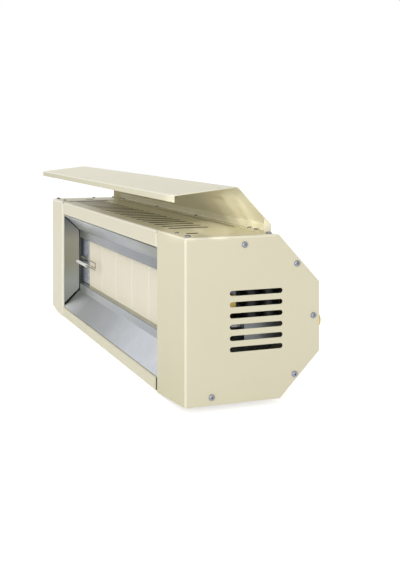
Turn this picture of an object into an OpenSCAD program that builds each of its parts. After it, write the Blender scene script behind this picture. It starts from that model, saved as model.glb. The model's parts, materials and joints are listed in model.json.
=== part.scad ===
// Gas-fired ceramic radiant heater with a sheet hood, in millimetres.
// X runs along the heater to the right, the radiating face looks to -Y, Z is up.
// Inside the modules Y = 0 is the front plane of the casing; place() then centres the whole in Y.

/* [Body] */
// Length over the two end covers
body_l = 805; // [760:5:900]
// Height of the casing, floor to top sheet
body_h = 230; // [222:1:250]
// Depth of the casing, front plane to back sheet
body_d = 197; // [190:1:215]
// Height and depth of the lower rear chamfer
chamfer = 60; // [50:1:66]
// Height of the upper rear chamfer
top_chamfer_h = 66; // [56:1:70]
// Depth of the upper rear chamfer
top_chamfer_d = 61; // [52:0.5:66]
// Thickness of the painted steel sheet
sheet_t = 0.8; // [0.7:0.1:1.2]
// Outer radius of the folded edges
bend_r = 3.8; // [2.6:0.1:3.9]
// Height of the end covers' lower edge above the floor
cover_lift = 8; // [5:1:12]
// Width of the right end cover
right_cover_w = 117; // [112:1:130]
// Width of the left end cover
left_cover_w = 94; // [90:1:105]
// Height of the strip above the mouth
top_strip_h = 25.5; // [22:0.5:28]
// Height of the strip below the mouth
bottom_strip_h = 19; // [16:0.5:22]
// Gap between the lower strip and the left end cover
strip_gap_left = 2; // [1:0.5:4]
// Width of the groove between the upper strip and each end cover
seam_groove = 4.5; // [1:0.5:6]
// Depth of the return at the inner edge of each end cover
cover_return = 4; // [4:0.1:6]
// Gap between the lower strip and the right end cover
strip_gap_right = 8; // [2:0.5:10]

/* [Top vents] */
// Number of slots in the top sheet
vent_count = 19; // [8:1:19]
// Distance between the slots
vent_pitch = 31; // [24:0.5:31]
// Width of a slot
vent_w = 11; // [6:0.5:13]
// Length of a slot, front to back
vent_len = 63; // [40:1:76]
// Distance of the slots from the front plane
vent_front = 23; // [12:1:26]

/* [End vents] */
// Number of slots in the right end cover
grille_count = 6; // [3:1:6]
// Distance between the end slots
grille_pitch = 15; // [13:0.5:15.5]
// Width of an end slot
grille_w = 7; // [4:0.5:9]
// Length of an end slot
grille_len = 78; // [50:1:90]
// Distance of the vent's middle from the front plane
grille_y = 102; // [95:1:108]
// Height of the vent's middle above the floor
grille_z = 117; // [105:1:125]

/* [Hood] */
// Overhang of the hood past each end cover
hood_over = 7; // [0:1:12]
// Overhang of the hood in front of the casing
hood_front = 18.5; // [10:0.5:30]
// Distance from the casing front to the hood's rear fold
hood_fold_y = 71; // [60:1:85]
// Height of the hood's front edge above the casing
hood_front_h = 57.5; // [48:0.5:70]
// Height of the hood's rear fold above the casing
hood_rear_h = 67; // [58:0.5:80]
// Depth of the folded front lip
hood_lip = 9; // [6:0.5:14]
// Height of the upright foot
hood_foot_h = 11; // [8:0.5:16]
// Distance from the casing front to the foot
hood_foot_y = 136; // [124:1:136]
// Inset of the foot's ends from the end covers
hood_inset = 26; // [22:1:32]
// Width of the foot's bottom flange
hood_flange = 13; // [12:1:18]
// Width of the end returns of the foot
hood_return_w = 10; // [6:1:14]
// Outer radius of the hood's folds
hood_bend = 2.6; // [2:0.1:3.5]

/* [Reflectors] */
// Thickness of the reflector sheet
reflector_t = 0.8; // [0.6:0.1:1]
// Depth of the flared part of the mouth
flare_d = 28; // [24:1:32]
// Rise of the lower flare
flare_low = 36.5; // [30:0.5:40]
// Fall of the upper flare
flare_top = 29; // [26:0.5:34]
// Narrowing at each side
flare_side = 20.5; // [16:0.5:24]
// Distance of the side reflectors' front edge from the end covers
mouth_lip = 0.8; // [0.8:0.1:4]
// Gap left open at the rear of the lower corners
mitre_gap = 3.2; // [1:0.1:4]
// Gap left open at the front of the lower corners
mitre_front = 5.5; // [2:0.5:7]
// Distance of the ends of the upright steps from the side reflectors
step_inset = 10; // [4:0.5:12]

/* [Burner] */
// Number of ceramic plaques
plaque_count = 5; // [4:1:5]
// Width of a plaque
plaque_w = 90; // [86:1:92]
// Height of a plaque
plaque_h = 92; // [90:1:94]
// Thickness of a plaque
plaque_t = 13; // [11:0.5:14]
// Width of the cement joint between plaques
joint_w = 4; // [2:0.5:4]
// Distance of the plaques' face from the front plane
plaque_y = 39; // [37:0.5:41]
// Thickness of the fibre gasket round the plaques
gasket_t = 2; // [1.5:0.5:3]
// Thickness of the plenum's wall
plenum_t = 1.5; // [1:0.1:2]
// Depth of the gas space behind the plaques
plenum_d = 54; // [52:1:60]
// Inner radius of the mixing tube's throat
throat_r = 12; // [9:0.5:13]
// Inner radius of the mixing tube's open end
tube_r = 16; // [14:0.5:18]
// Inner radius of the mixing tube's mouth
mouth_r = 22; // [18:0.5:24]

/* [Gas train] */
// Length of the valve block, front to back
valve_l = 64; // [62:1:68]
// Width of the valve block
valve_w = 36; // [32:1:40]
// Height of the valve block
valve_h = 32; // [30:1:36]
// Height of the valve block's underside above the floor
valve_z = 76; // [74:1:80]
// Radius of a solenoid coil
coil_r = 14; // [12:0.5:14.5]
// Height of a solenoid coil
coil_h = 42; // [36:1:48]
// Radius of a plunger
plunger_r = 4.5; // [3.5:0.1:4.8]
// Travel of a plunger
plunger_travel = 2.5; // [1.5:0.5:3]
// Outer radius of the gas pipes
pipe_r = 5; // [4:0.5:6]
// Outer radius of the gas inlet's thread
inlet_r = 10.5; // [9:0.5:12]
// Length of the gas inlet outside the back sheet
inlet_l = 25; // [20:1:32]

/* [Electrics] */
// Width of the ignition box, along the heater
box_w = 50; // [40:1:60]
// Depth of the ignition box
box_d = 80; // [60:1:90]
// Height of the ignition box
box_h = 100; // [80:1:110]
// Radius of the electrode's ceramic tube
electrode_r = 3.5; // [3:0.5:4.5]
// Radius of the electrode's wire
wire_r = 1; // [0.8:0.1:1.3]
// Radius of the ignition lead
lead_r = 3; // [2.5:0.5:3.5]
// Radius of the valve harness
harness_r = 3.5; // [2.5:0.5:4]

/* [Hidden] */
$fn = 48;

cream = [0.87, 0.85, 0.75];
bright = [0.72, 0.73, 0.74];
zinc = [0.62, 0.65, 0.68];
brass = [0.80, 0.66, 0.34];
black = [0.12, 0.12, 0.13];
white = [0.93, 0.92, 0.88];
plaque_colour = [0.91, 0.88, 0.79];

// Clearances
fit = 0.1;
seat = 0.3;
running = 0.05;
over = 1;

// Ends, seams and middle of the heater
end_x = body_l / 2;
right_seam = end_x - right_cover_w;
left_seam = -end_x + left_cover_w;
mid_x = (right_seam + left_seam) / 2;
rear_reach = body_d + inlet_l;
mid_y = (rear_reach - hood_front) / 2;

// Mouth and tile window
mouth_low = bottom_strip_h;
mouth_top = body_h - top_strip_h;
window_z = (mouth_low + flare_low + mouth_top - flare_top) / 2;
lip_left = left_seam + mouth_lip;
lip_right = right_seam - mouth_lip;

// Bulkheads
bulk_gap = 1.5;
lip_y = cover_return - sheet_t + fit;
side_front = lip_y + fit;
bulk_right = right_seam + bulk_gap;
bulk_left = left_seam - bulk_gap;

// Burner
pitch = plaque_w + joint_w;
burner_w = plaque_count * pitch - joint_w;
burner_x0 = mid_x - burner_w / 2;
burner_x1 = mid_x + burner_w / 2;
plaque_z0 = window_z - plaque_h / 2;
plaque_z1 = window_z + plaque_h / 2;
shelf_y = plaque_y + plaque_t + gasket_t;
plenum_back = shelf_y + plenum_d;
plenum_x0 = burner_x0 - gasket_t - plenum_t;
plenum_x1 = burner_x1 + gasket_t + plenum_t;
plenum_z0 = plaque_z0 - gasket_t - plenum_t;
plenum_z1 = plaque_z1 + gasket_t + plenum_t;
shelf_w = 5;
tube_y = shelf_y + plenum_d / 2;
tube_z = window_z + 18;
tube_wall = 1.2;

// Gas train, in the right end
holder_size = 20;
pipe_bend = 8;
harness_bend = 10;
bracket_leg = 30;
valve_x = right_seam + 65;
valve_y = tube_y + holder_size / 2 + pipe_bend;
port_z = valve_z + 24;
coil_y = [valve_y + coil_r + 3, valve_y + valve_l - coil_r - 3];
coil_z = valve_z + valve_h + seat;
seat_z = valve_z + 19;
chamber_r = 7.5;
guide_r = plunger_r + running;
guide_wall = 1.4;
guide_top = coil_z + coil_h + 4;
cap_t = 2;
disc_r = 6;
disc_t = 3;
plug_w = 12;
plug_x0 = valve_x - coil_r - 8;
spring_len = 8;
plunger_top = guide_top - cap_t - spring_len - 2 * fit;
injector_tip = bulk_right + 39;
holder_x = injector_tip + 19;
holder_w = 12;
inlet_deep = 14;

// Ignition, in the left end
electrode_y = 26;
electrode_z = 112;
electrode_x0 = bulk_left - 26;
electrode_x1 = burner_x0 + 23;
loop_x0 = burner_x0 + 54;
loop_x1 = burner_x0 + 91;
loop_h = 13;
box_x1 = bulk_left - sheet_t - fit;
box_y = 70;
box_z = 60;
harness_y = coil_y[1] + plug_w / 2 + harness_bend + 6;
harness_z = coil_z + coil_h - plug_w / 2 - 2;
shield_y = harness_y - harness_r - 4.5;
shield_leg = 14;
shield_half = 65;

// Screws
head_r = 4.2;
head_h = 2.6;
shank_r = 2;
small_head_r = 3;
small_head_h = 1.8;
small_shank_r = 1.5;
hole_r = shank_r + 0.2;
small_hole_r = small_shank_r + 0.2;
rear_fold_y = body_d - top_chamfer_d;
hole_deep = 12;
return_w = 18;
cover_top_y = rear_fold_y - 3;
// Places of the screws on an end plate, as depth and height
side_spots = [[body_d * 0.43, body_h - 11], [rear_fold_y + 27, body_h - top_chamfer_h + 26],
              [body_d - 9, body_h * 0.51],
              [body_d - chamfer + 22, cover_lift + 31], [37, cover_lift + 11]];
// Inset from the cover's end and distance from the front plane of the screws on a cover's top
top_spot = [15, 9];
top_small_spot = [64, 11];
top_rear_spot = [16.5, 8];
slot_spot = [54, 30];
slot_r = 5;
slot_clear = 3;
slot_run = 9;
left_slot_y = 66;
left_extra = [-end_x + 10.5, 86];
hood_screw_x = [end_x - 62, end_x - 86, 100];
hood_screw_y = hood_foot_y - 6.5;

// Point lists for folded sheets
function unit(v) = v / norm(v);
function turn(a, b) = atan2(a[0] * b[1] - a[1] * b[0], a * b);
function left_of(v) = [-v[1], v[0]];
// Arc that replaces a corner, with the sheet's path on its outer side
function corner(p0, p1, p2, r, n = 4) =
    let (u = unit(p1 - p0), v = unit(p2 - p1), a = turn(u, v), s = sign(a),
         c = p1 - u * r * tan(abs(a) / 2) + left_of(u) * s * r)
    [for (k = [0:n]) let (b = -s * 90 + a * k / n)
        c + r * [u[0] * cos(b) - u[1] * sin(b), u[1] * cos(b) + u[0] * sin(b)]];
function folded(p, r) = [for (i = [0:len(p) - 1])
    each (i == 0 || i == len(p) - 1) ? [p[i]] : corner(p[i - 1], p[i], p[i + 1], r)];
// The same path moved sideways by t
function beside(p, t) = [for (i = [0:len(p) - 1])
    let (a = left_of(unit(p[i] - p[max(i - 1, 0)] + (i == 0 ? p[1] - p[0] : [0, 0]))),
         b = left_of(unit(p[min(i + 1, len(p) - 1)] - p[i]
             + (i == len(p) - 1 ? p[i] - p[i - 1] : [0, 0]))))
    p[i] + (a + b) * t / (1 + a * b)];
function backwards(p) = [for (i = [len(p) - 1:-1:0]) p[i]];

// Sheet of thickness t on the left side of a folded path
module folded_sheet(p, t, r) {
    f = folded(p, r);
    polygon(concat(f, backwards(beside(f, t))));
}
// Extrusion along X of a shape drawn as depth and height
module along_x(x0, x1) {
    translate([x0, 0, 0]) rotate([90, 0, 90]) linear_extrude(x1 - x0) children();
}
// Extrusion along Y of a shape drawn as length and height
module along_y(y0, y1) {
    translate([0, y1, 0]) rotate([90, 0, 0]) linear_extrude(y1 - y0) children();
}
module along_z(z0, z1) {
    translate([0, 0, z0]) linear_extrude(z1 - z0) children();
}
module place() {
    translate([0, -mid_y, 0]) children();
}
module slot_shape(length, r) {
    square([length - 2 * r, 2 * r], center = true);
    for (s = [-1, 1]) translate([s * (length / 2 - r), 0]) circle(r);
}
// Pan-head screw with its head above Z = 0
module pan_screw(r, h, shank, length) {
    rotate_extrude() polygon([[0, -length], [shank, -length], [shank, 0], [r, 0],
                              [r, h * 0.45], [r * 0.8, h * 0.85], [r * 0.45, h], [0, h]]);
}
// Rod along a list of points, each bend being a quarter of a ring
module rod_x(x0, x1, y, z, r) {
    translate([x0, y, z]) rotate([0, 90, 0]) cylinder(r = r, h = x1 - x0);
}
module rod_y(y0, y1, x, z, r) {
    translate([x, y0, z]) rotate([-90, 0, 0]) cylinder(r = r, h = y1 - y0);
}
module rod_z(z0, z1, x, y, r) {
    translate([x, y, z0]) cylinder(r = r, h = z1 - z0);
}
module quarter_ring(bend, r) {
    rotate_extrude(angle = 90) translate([bend, 0]) circle(r);
}

// Outline of an end plate with the two rear chamfers, its back set in by b and then all sides
// but the front drawn in by w
function end_outline(front, low, top, w = 0, b = 0) = beside(
    [[front, low], [body_d - chamfer - cover_lift + low, low],
     [body_d - b, cover_lift + chamfer - b],
     [body_d - b, body_h - top_chamfer_h + b * top_chamfer_h / top_chamfer_d],
     [rear_fold_y + (body_h - top) * top_chamfer_d / top_chamfer_h, top], [front, top]], w);

// Depth of the returns of the strips above and below the mouth
strip_return = 8;
// Path of the casing sheet from the return of the upper strip to the foot of the back
casing_path = [[strip_return, mouth_top], [0, mouth_top], [0, body_h], [rear_fold_y, body_h],
               [body_d, body_h - top_chamfer_h], [body_d, cover_lift + chamfer + 1]];
// Path of the bottom panel from the return of the lower strip to its lap inside the back
lap = sheet_t + fit;
lap_h = 14;
low_frame_top = cover_lift + chamfer + lap_h;
bottom_path = [[strip_return, mouth_low], [-sheet_t, mouth_low], [-sheet_t, 0],
               [body_d - chamfer - cover_lift, 0],
               [body_d - lap, chamfer + cover_lift - lap],
               [body_d - lap, low_frame_top]];

module casing_holes() {
    for (i = [0:vent_count - 1])
        translate([mid_x + (i - (vent_count - 1) / 2) * vent_pitch, vent_front + vent_len / 2,
                   body_h - sheet_t - over])
            linear_extrude(sheet_t + 2 * over) rotate(90) slot_shape(vent_len, vent_w / 2);
}
module top_hole(x, y, r) {
    rod_z(body_h - hole_deep, body_h + hole_deep, x, y, r);
}
module top_holes() {
    for (s = [-1, 1]) {
        top_hole(s * (end_x - top_spot[0]), top_spot[1], hole_r);
        top_hole(s * (end_x - top_small_spot[0]), top_small_spot[1], small_hole_r);
        top_hole(s * (end_x - top_rear_spot[0]), rear_fold_y - top_rear_spot[1], hole_r);
        for (x = hood_screw_x) top_hole(s * x, hood_screw_y, small_hole_r);
    }
    top_hole(left_extra[0], left_extra[1], small_hole_r);
    hanging_slots(slot_r);
}
module hanging_slots(r) {
    for (p = [[end_x - slot_spot[0], slot_spot[1]], [-end_x + slot_spot[0], left_slot_y]])
        translate([p[0], p[1], body_h - hole_deep])
            linear_extrude(2 * hole_deep) rotate(90) slot_shape(slot_run + 2 * r, r);
}
module side_holes() {
    for (s = side_spots)
        translate([-end_x - over, s[0], s[1]]) rotate([0, 90, 0])
            cylinder(r = hole_r, h = body_l + 2 * over);
}
back_screw_x = [for (k = [-0.45, -0.24, 0, 0.24, 0.45]) k * body_l];
back_screw_z = cover_lift + chamfer + 9;
module back_holes() {
    for (x = back_screw_x) rod_y(body_d - 8, body_d + over, x, back_screw_z, small_hole_r);
}

// Frame of one end, inside the end plate, to which its screws hold, set in by w
module end_return(w, low, high) {
    intersection() {
        along_x(end_x - 2 * sheet_t - fit, end_x - sheet_t - fit) difference() {
            polygon(end_outline(bend_r, cover_lift, body_h, w));
            polygon(end_outline(-over, cover_lift, body_h, return_w));
        }
        translate([0, 0, low]) cube([end_x, body_d + over, high - low]);
    }
}

strip_x0 = left_seam + strip_gap_left;
strip_x1 = right_seam - strip_gap_right;
top_x0 = left_seam + seam_groove / 2;
top_x1 = right_seam - seam_groove;
// Rounds the front corners of a strip beside the end covers, behind y the strip runs on to x2 and x3
strip_round = 2.4;
module strip_ends(x0, x1, front, x2, x3, y) {
    intersection() {
        union() children();
        along_z(-over, body_h + over) {
            polygon(folded([[x0, body_d + over], [x0, front], [x1, front], [x1, body_d + over]],
                           strip_round));
            translate([x2, y]) square([x3 - x2, body_d]);
        }
    }
}
// Short return at each end of a strip
module strip_caps(x0, x1, y, z0, z1) {
    for (x = [x0, x1 - sheet_t])
        translate([x, y + sheet_t / 2, z0]) cube([sheet_t, strip_round - sheet_t / 2, z1 - z0]);
}
// End of the casing inside a cover, folded down at the end plate
module casing_end(seam) {
    intersection() {
        union() {
            along_x(seam - over, end_x - sheet_t - fit)
                folded_sheet([[bend_r, body_h], casing_path[3], casing_path[4], casing_path[5]],
                             -sheet_t, bend_r);
            end_return(sheet_t / 2, low_frame_top + 2, body_h);
        }
        along_y(0, body_d + over)
            polygon(folded([[seam - over, body_h], [seam - over, 0], [end_x - sheet_t - fit, 0],
                            [end_x - sheet_t - fit, body_h], [seam, body_h]], bend_r));
    }
}
module casing() {
    color(cream) difference() {
        union() {
            strip_ends(top_x0, top_x1, 0, left_seam, right_seam, bend_r) {
                along_x(left_seam, right_seam) folded_sheet(casing_path, -sheet_t, bend_r);
                strip_caps(top_x0, top_x1, 0, mouth_top + sheet_t / 2, body_h - bend_r);
            }
            for (s = [0, 1]) mirror([s, 0, 0])
                casing_end(s == 0 ? right_seam : -left_seam);
        }
        casing_holes();
        top_holes();
        hanging_slots(slot_r + slot_clear);
        side_holes();
        back_holes();
        rod_y(body_d - 8, body_d + over, valve_x, port_z, inlet_r + fit);
        rod_y(body_d - 8, body_d + over, gland_x, gland_z, gland_r + fit);
    }
}

module bottom_panel() {
    color(cream) difference() {
        union() {
            strip_ends(strip_x0, strip_x1, -sheet_t, strip_x0, strip_x1, strip_return) {
                along_x(strip_x0, strip_x1) folded_sheet(bottom_path, sheet_t, bend_r);
                strip_caps(strip_x0, strip_x1, -sheet_t, sheet_t / 2, mouth_low - sheet_t / 2);
            }
            along_x(bulk_left - sheet_t, bulk_right + sheet_t)
                folded_sheet([[lip_y, 0], bottom_path[3], bottom_path[4]], sheet_t, bend_r);
            for (s = [0, 1]) mirror([s, 0, 0])
                along_x(s == 0 ? bulk_right : -bulk_left, end_x - sheet_t - fit)
                    folded_sheet([[body_d - chamfer, cover_lift], bottom_path[4], bottom_path[5]],
                                 sheet_t, bend_r);
            for (s = [0, 1]) mirror([s, 0, 0])
                end_return(lap + sheet_t / 2, 0, low_frame_top);
        }
        side_holes();
        back_holes();
    }
}

// End cover of width w, drawn for the right end
module end_cover(w) {
    top = body_h + sheet_t;
    difference() {
        union() {
            // Side plate and front flange
            along_z(0, top - bend_r)
                folded_sheet([[end_x - w, cover_return - sheet_t], [end_x - w, -sheet_t],
                              [end_x, -sheet_t], [end_x, body_d]], sheet_t, bend_r);
            // Top flange, with its folds to the front and to the side
            intersection() {
                union() {
                    intersection() {
                        along_y(-sheet_t, cover_top_y)
                            folded_sheet([[end_x, top - bend_r - over], [end_x, top],
                                          [end_x - w, top]], sheet_t, bend_r);
                        along_x(end_x - w, end_x)
                            polygon(folded([[cover_top_y, top], [-sheet_t, top], [-sheet_t, 0],
                                            [cover_top_y, 0]], bend_r));
                    }
                    along_x(end_x - w, end_x)
                        folded_sheet([[cover_top_y, top], [-sheet_t, top],
                                      [-sheet_t, top - bend_r - over]], sheet_t, bend_r);
                }
                along_z(0, top + over)
                    polygon(folded([[end_x - w, body_d], [end_x - w, -sheet_t],
                                    [end_x, -sheet_t], [end_x, body_d]], bend_r));
                along_y(-2 * sheet_t, body_d)
                    polygon(concat([[end_x - w, 0]],
                                   folded([[end_x - w, top], [end_x, top], [end_x, 0]], bend_r)));
            }
            // Rear part of the side plate's upper edge
            along_x(end_x - sheet_t, end_x) translate([cover_top_y - over, top - 2 * bend_r])
                square([chamfer, 2 * bend_r]);
            // Bottom flange
            along_x(end_x - w + 2 * bulk_gap + 2 * sheet_t, end_x - sheet_t / 2)
                translate([2 * sheet_t, cover_lift])
                square([body_d - chamfer - 2 * sheet_t - 4, sheet_t]);
        }
        // Rear chamfers and lower edge of the side plate
        along_x(end_x - 2 * sheet_t, end_x + over) difference() {
            translate([-3 * sheet_t, -over]) square([2 * body_d, 2 * body_h]);
            polygon(end_outline(-2 * sheet_t, cover_lift, top));
        }
        // Slope of the front flange's lower edge
        along_y(-2 * sheet_t, bend_r + 1.5 * sheet_t)
            polygon([[end_x - w - over, 0], [end_x - bend_r, cover_lift],
                     [end_x + over, cover_lift], [end_x + over, -over],
                     [end_x - w - over, -over]]);
    }
}

module end_grille() {
    for (i = [0:grille_count - 1])
        along_x(end_x - 4 * sheet_t, end_x + over)
            translate([grille_y, grille_z + (i - (grille_count - 1) / 2) * grille_pitch])
            slot_shape(grille_len, grille_w / 2);
}

module right_end_cover() {
    color(cream) difference() {
        end_cover(right_cover_w);
        end_grille();
        side_holes();
        top_holes();
    }
}
module left_end_cover() {
    color(cream) difference() {
        mirror([1, 0, 0]) end_cover(left_cover_w);
        side_holes();
        top_holes();
    }
}

// Partition between the burner chamber and an end compartment
module bulkhead_plate(x0) {
    inner = sheet_t + fit;
    along_x(x0, x0 + sheet_t)
        polygon(folded(end_outline(lip_y, 0, body_h, inner, inner), bend_r - inner));
}
// Lip beside the mouth, drawn for the left end
module bulkhead_lip() {
    translate([bulk_left - sheet_t, lip_y, mouth_low + fit])
        cube([left_seam - bulk_left + sheet_t, sheet_t, mouth_top - mouth_low - 2 * fit]);
}
module mirrored() {
    translate([left_seam + right_seam, 0, 0]) mirror([1, 0, 0]) children();
}
module right_bulkhead() {
    color(cream) difference() {
        union() {
            bulkhead_plate(bulk_right);
            mirrored() bulkhead_lip();
        }
        rod_x(bulk_right - over, bulk_right + 3, tube_y, tube_z, tube_out(bulk_right) + seat);
        rod_x(bulk_right - over, bulk_right + 3, harness_y, harness_z, harness_r + seat);
    }
}
module left_bulkhead() {
    color(cream) difference() {
        union() {
            bulkhead_plate(bulk_left - sheet_t);
            bulkhead_lip();
        }
        rod_x(bulk_left - 3, bulk_left + over, electrode_y, electrode_z, electrode_r + seat);
        rod_x(bulk_left - 3, bulk_left + over, harness_y, harness_z, harness_r + seat);
    }
}

// Hood
hood_base = body_h + sheet_t + fit;
hood_path = [[hood_foot_y - hood_flange, hood_base], [hood_foot_y, hood_base],
             [hood_foot_y, hood_base + hood_foot_h],
             [hood_fold_y, body_h + hood_rear_h], [-hood_front, body_h + hood_front_h],
             [-hood_front, body_h + hood_front_h - hood_lip]];
hood_end = end_x + hood_over;
foot_end = end_x - hood_inset;
module hood() {
    color(cream) difference() {
        union() {
            intersection() {
                along_x(-hood_end, hood_end) folded_sheet(hood_path, sheet_t, hood_bend);
                union() {
                    along_y(-hood_front - over, hood_fold_y)
                        translate([-hood_end, body_h]) square([2 * hood_end, hood_rear_h + over]);
                    along_y(hood_fold_y, body_d)
                        polygon([[-foot_end, body_h], [foot_end, body_h],
                                 [foot_end, hood_base + hood_foot_h],
                                 [hood_end, body_h + hood_rear_h - hood_bend],
                                 [hood_end, body_h + hood_rear_h + over],
                                 [-hood_end, body_h + hood_rear_h + over],
                                 [-hood_end, body_h + hood_rear_h - hood_bend],
                                 [-foot_end, hood_base + hood_foot_h]]);
                }
            }
            for (s = [-1, 1]) translate([s * (foot_end - sheet_t / 2), 0, 0])
                hood_return();
        }
        top_holes();
    }
}
// Return at the end of the foot, which stiffens the fold
module hood_return() {
    rise = (hood_rear_h - hood_foot_h - sheet_t - fit) / (hood_foot_y - hood_fold_y);
    y0 = hood_foot_y - sheet_t / 2 - hood_return_w;
    y1 = hood_foot_y - sheet_t / 2;
    z1 = hood_base + hood_foot_h;
    along_x(-sheet_t / 2, sheet_t / 2)
        polygon([[y0, hood_base], [y1, hood_base], [y1, z1],
                 [y0, z1 + rise * (y1 - y0) - sheet_t / 2]]);
}

// Upper and lower reflectors: flare, upright step and ledge
reflector_front = 2 * sheet_t + 2 * fit;
module reflector_ends(gap) {
    far = body_l;
    rear = flare_side + gap;
    for (s = [[lip_left, 1], [lip_right, -1]])
        along_z(0, body_h)
            polygon([[s[0] - s[1] * far, -over], [s[0] + s[1] * 2 * seat, -over],
                     [s[0] + s[1] * 2 * seat, side_front],
                     [s[0] + s[1] * rear, flare_d - reflector_t],
                     [s[0] + s[1] * (flare_side + step_inset), flare_d - reflector_t],
                     [s[0] + s[1] * (flare_side + step_inset), body_d], [s[0] - s[1] * far, body_d]]);
}
module top_reflector() {
    drop = reflector_t * 1.6;
    color(bright) difference() {
        along_x(lip_left, lip_right)
            folded_sheet([[plaque_y - seat, mouth_top - flare_top - step_h],
                          [flare_d, mouth_top - flare_top - step_h],
                          [flare_d, mouth_top - flare_top],
                          [reflector_front, mouth_top - drop]], -reflector_t, reflector_t * 1.2);
        reflector_ends(seat);
    }
}
module bottom_reflector() {
    rise = reflector_t * 1.6;
    color(bright) difference() {
        along_x(lip_left, lip_right)
            folded_sheet([[plaque_y - seat, mouth_low + flare_low + step_h],
                          [flare_d, mouth_low + flare_low + step_h],
                          [flare_d, mouth_low + flare_low],
                          [reflector_front, mouth_low + rise]], reflector_t, reflector_t * 1.2);
        reflector_ends(seat);
    }
}
// Part of the flares' depth reached at the front of the side reflectors
flare_part = (side_front - reflector_front) / (flare_d - reflector_front);
step_h = (mouth_top - flare_top - mouth_low - flare_low - plaque_h + 1.4) / 2;

// Side reflector drawn for the left end
module side_reflector() {
    difference() {
        intersection() {
            along_z(0, body_h)
                folded_sheet([[lip_left, side_front], [lip_left + flare_side, flare_d]],
                             reflector_t, reflector_t);
            along_x(lip_left - 2, lip_left + flare_side + 2)
                polygon([[side_front, mouth_low + flare_low * flare_part + mitre_front],
                         [flare_d, mouth_low + flare_low + mitre_gap],
                         [flare_d, mouth_top - flare_top - mitre_gap / 2],
                         [side_front, mouth_top - flare_top * flare_part - mitre_gap]]);
        }
        rod_x(lip_left - 5, lip_left + flare_side + 5, electrode_y, electrode_z,
              electrode_r + 2 * seat);
        translate([lip_left - 5, electrode_y, electrode_z - electrode_r - 2 * seat])
            cube([flare_side + 10, flare_d, 2 * electrode_r + 4 * seat]);
    }
}
module left_reflector() {
    color(bright) side_reflector();
}
module right_reflector() {
    color(bright) mirrored() side_reflector();
}

// Strip that carries the plenum from a bulkhead, drawn for the left end
strip_y = plaque_y - 1;
strip_half = plaque_h / 2 - 2;
module burner_bracket(x_wall, x_plenum) {
    difference() {
        along_z(window_z - strip_half, window_z + strip_half)
            folded_sheet([[x_wall, strip_y + 26], [x_wall, strip_y], [x_plenum, strip_y],
                          [x_plenum, strip_y + 22]], sheet_t, hood_bend);
        for (z = [-29, 36]) rod_y(strip_y - over, strip_y + 2 * over, x_plenum - 14, window_z + z, 2.6);
        translate([x_plenum - 38, strip_y - over, electrode_z + 2]) cube([30, 3 * over, 7]);
    }
}
module left_burner_bracket() {
    color(zinc) burner_bracket(bulk_left + fit, plenum_x0 - fit);
}
module right_burner_bracket() {
    color(zinc) difference() {
        translate([bulk_right - fit, 0, 0]) mirror([1, 0, 0])
            burner_bracket(0, bulk_right - plenum_x1 - 2 * fit);
        rod_x(plenum_x1 - 2, bulk_right + 2, tube_y, tube_z, tube_out(plenum_x1) + 3);
    }
}

// Burner
module plenum() {
    color(zinc) difference() {
        translate([plenum_x0, plaque_y + 2, plenum_z0])
            cube([plenum_x1 - plenum_x0, plenum_back + plenum_t - plaque_y - 2,
                  plenum_z1 - plenum_z0]);
        translate([plenum_x0 + plenum_t, plaque_y, plenum_z0 + plenum_t])
            cube([plenum_x1 - plenum_x0 - 2 * plenum_t, shelf_y - plaque_y,
                  plenum_z1 - plenum_z0 - 2 * plenum_t]);
        translate([plenum_x0 + plenum_t + shelf_w, plaque_y, plenum_z0 + plenum_t + shelf_w])
            cube([plenum_x1 - plenum_x0 - 2 * plenum_t - 2 * shelf_w, plenum_back,
                  plenum_z1 - plenum_z0 - 2 * plenum_t - 2 * shelf_w]);
        translate([plenum_x0 + plenum_t, shelf_y + plenum_t, plenum_z0 + plenum_t])
            cube([plenum_x1 - plenum_x0 - 2 * plenum_t, plenum_d - plenum_t,
                  plenum_z1 - plenum_z0 - 2 * plenum_t]);
        rod_x(plenum_x1 - 2 * plenum_t, plenum_x1 + over, tube_y, tube_z,
              tube_out(plenum_x1) + fit);
    }
}
module plaque_gasket() {
    color(white) difference() {
        translate([burner_x0 - gasket_t + fit, plaque_y + 3, plaque_z0 - gasket_t + fit])
            cube([burner_w + 2 * gasket_t - 2 * fit, shelf_y - plaque_y - 3 - fit,
                  plaque_h + 2 * gasket_t - 2 * fit]);
        translate([burner_x0 - fit, plaque_y, plaque_z0 - fit])
            cube([burner_w + 2 * fit, plaque_t + fit, plaque_h + 2 * fit]);
        translate([burner_x0 + shelf_w, plaque_y, plaque_z0 + shelf_w])
            cube([burner_w - 2 * shelf_w, 2 * plaque_t, plaque_h - 2 * shelf_w]);
    }
}
// One ceramic plaque: bevelled front edges and a perforated field set a little back
module plaque(i) {
    x0 = burner_x0 + (i - 1) * pitch;
    color(plaque_colour) difference() {
        translate([x0, plaque_y, plaque_z0]) cube([plaque_w, plaque_t, plaque_h]);
        translate([x0 + 3, plaque_y - over, plaque_z0 + 3])
            cube([plaque_w - 6, over + 0.4, plaque_h - 6]);
    }
}
module plaque_cement() {
    color(white) for (i = [1:plaque_count - 1])
        translate([burner_x0 + i * pitch - joint_w + fit, plaque_y - 0.3, plaque_z0 + 1])
            cube([joint_w - 2 * fit, plaque_t - 1, plaque_h - 2]);
}
module heat_shield() {
    color(bright) along_z(window_z - shield_half, window_z + shield_half)
        folded_sheet([[bulk_left + fit, shield_y - shield_leg], [bulk_left + fit, shield_y],
                      [bulk_right - fit, shield_y], [bulk_right - fit, shield_y - shield_leg]],
                     -sheet_t, hood_bend);
}

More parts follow.
